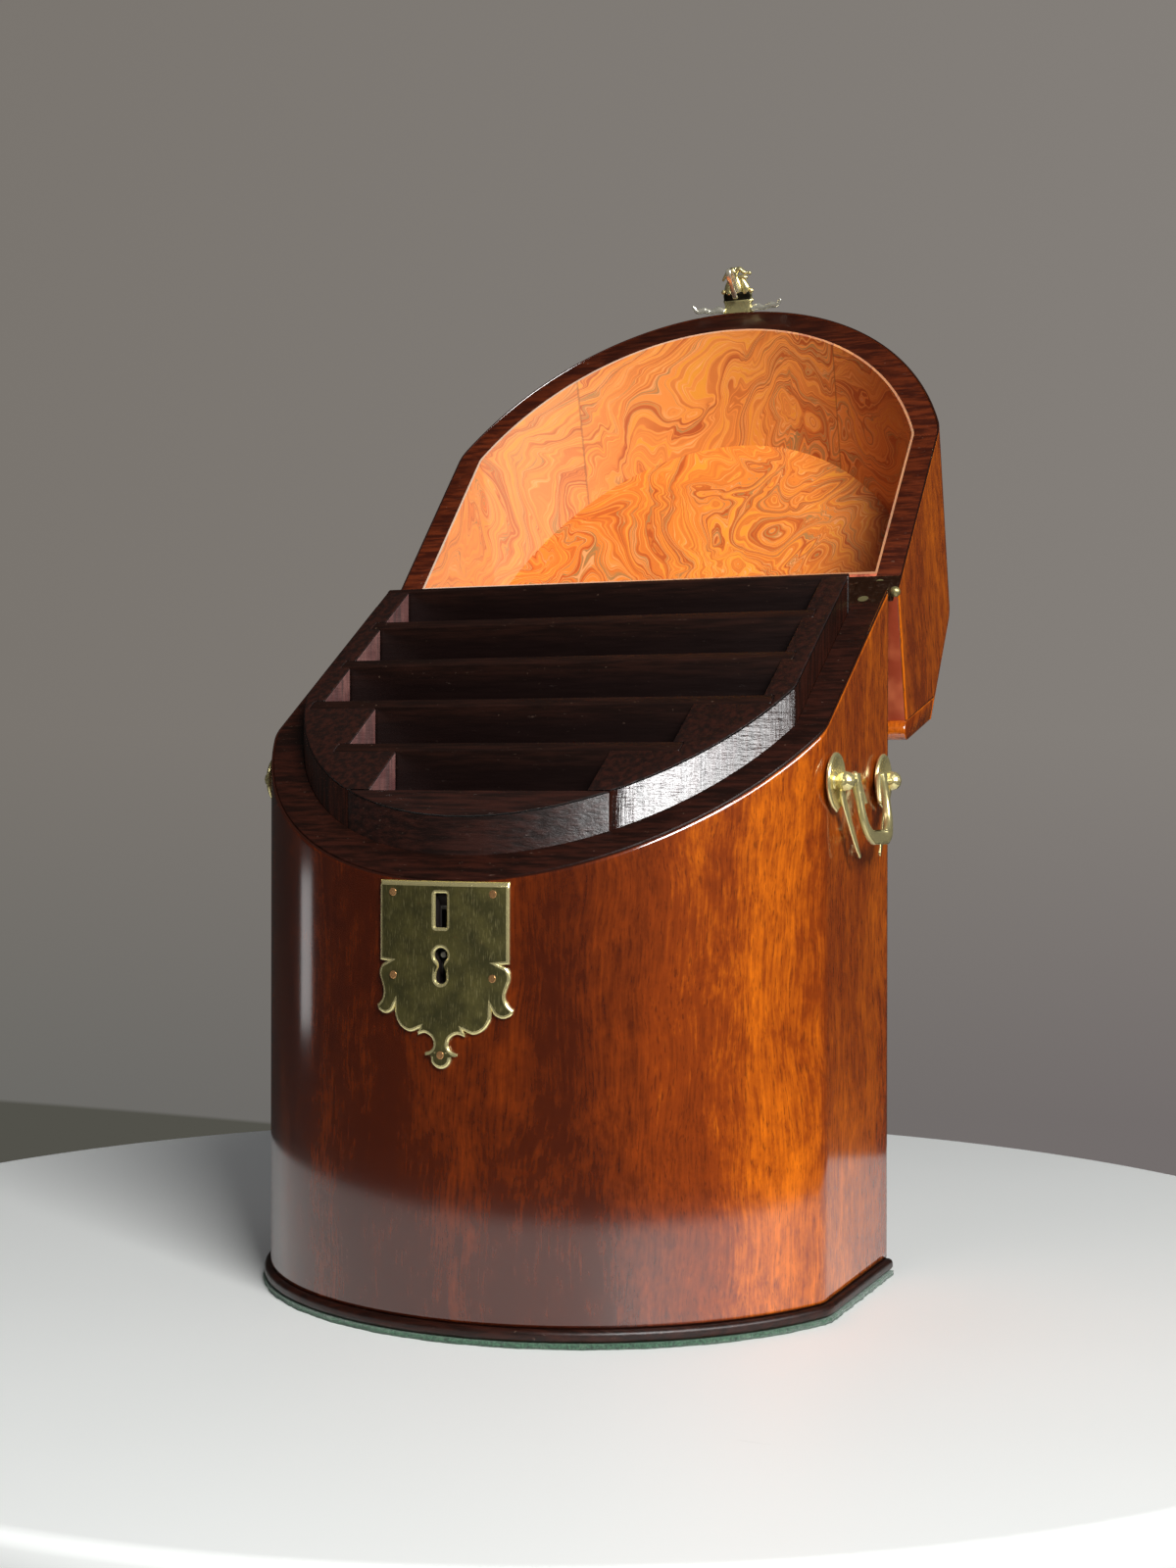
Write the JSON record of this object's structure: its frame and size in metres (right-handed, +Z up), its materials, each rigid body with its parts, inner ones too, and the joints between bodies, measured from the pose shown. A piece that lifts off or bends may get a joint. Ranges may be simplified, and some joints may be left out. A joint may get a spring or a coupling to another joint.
{
  "type": "knife box with hinged lid",
  "caption": "Bow-fronted veneered knife box: sloping lid hinged open to the back, slotted rack inside, brass lock plate, thumb lift and drop handles.",
  "frame": {"origin": "middle of the footprint on the underside of the baize", "axes": "+X to the right seen from the bow front, +Y from the front to the back, +Z up"},
  "size_m": [0.2524, 0.3255, 0.4408],
  "materials": {
    "mahogany_veneer": "french polished",
    "carcass_stained": "stained, matte",
    "ebonised": "ebonised, polished",
    "pine": "bare",
    "marbled_paper": "marbled",
    "baize": "felted",
    "brass": "aged",
    "brass_bright": "worn bright",
    "steel": "dull"
  },
  "bodies": {
    "box": {"body_veneer": "mahogany_veneer", "back_board": "carcass_stained", "side_board_left": "carcass_stained", "side_board_right": "carcass_stained", "bow_front_board": "carcass_stained", "rim_facing": "ebonised", "base_bead": "ebonised", "rack_back_board": "ebonised", "rack_partition_1": "ebonised", "rack_partition_2": "ebonised", "rack_partition_3": "ebonised", "rack_partition_4": "ebonised", "rack_front_block": "ebonised", "rack_cheek_left": "ebonised", "rack_cheek_right": "ebonised", "bottom_board": "pine", "rack_floor": "pine", "rack_bearer_left": "pine", "rack_bearer_right": "pine", "baize": "baize", "escutcheon": "brass", "escutcheon_nails": "brass", "handle_rosettes_left": "brass", "handle_rosettes_right": "brass", "handle_posts_left": "brass", "handle_posts_right": "brass", "hinge_body_leaf_left": "brass", "hinge_body_leaf_right": "brass", "hinge_pin_left": "brass", "hinge_pin_right": "brass", "lock_cap": "brass", "hinge_body_screws": "steel", "lock_case": "steel", "lock_key_post": "steel", "lock_screws": "steel"},
    "lid": {"lid_back_board": "carcass_stained", "lid_side_board_left": "carcass_stained", "lid_side_board_right": "carcass_stained", "lid_bow_board": "carcass_stained", "lid_slope_board": "carcass_stained", "lid_top_board": "mahogany_veneer", "lid_veneer": "mahogany_veneer", "lid_slope_veneer": "mahogany_veneer", "lid_wall_liner": "marbled_paper", "lid_panel_liner": "marbled_paper", "hinge_lid_leaf_left": "brass", "hinge_lid_leaf_right": "brass", "hinge_lid_screws": "steel", "lift_plate": "brass", "thumb_lift": "brass", "staple": "brass", "lift_nails": "brass"},
    "lock_bolt": {"lock_bolt": "steel"},
    "bail_left": {"bail_left": "brass"},
    "bail_right": {"bail_right": "brass"}
  },
  "joints": [
    {"name": "lid_hinge", "type": "hinge", "parent": "box", "child": "lid", "pos_m": [0, 0.08865, 0.27094], "axis": [1, 0, 0], "range_deg": [0, 166]},
    {"name": "lock_bolt_slide", "type": "slide", "parent": "box", "child": "lock_bolt", "axis": [-1, 0, 0], "range_m": [0, 0.005]},
    {"name": "left_handle_swing", "type": "hinge", "parent": "box", "child": "bail_left", "pos_m": [-0.1202, 0.00435, 0.1955], "axis": [0, 1, 0], "range_deg": [0, 150]},
    {"name": "right_handle_swing", "type": "hinge", "parent": "box", "child": "bail_right", "pos_m": [0.1202, 0.00435, 0.1955], "axis": [0, -1, 0], "range_deg": [0, 150]}
  ]
}
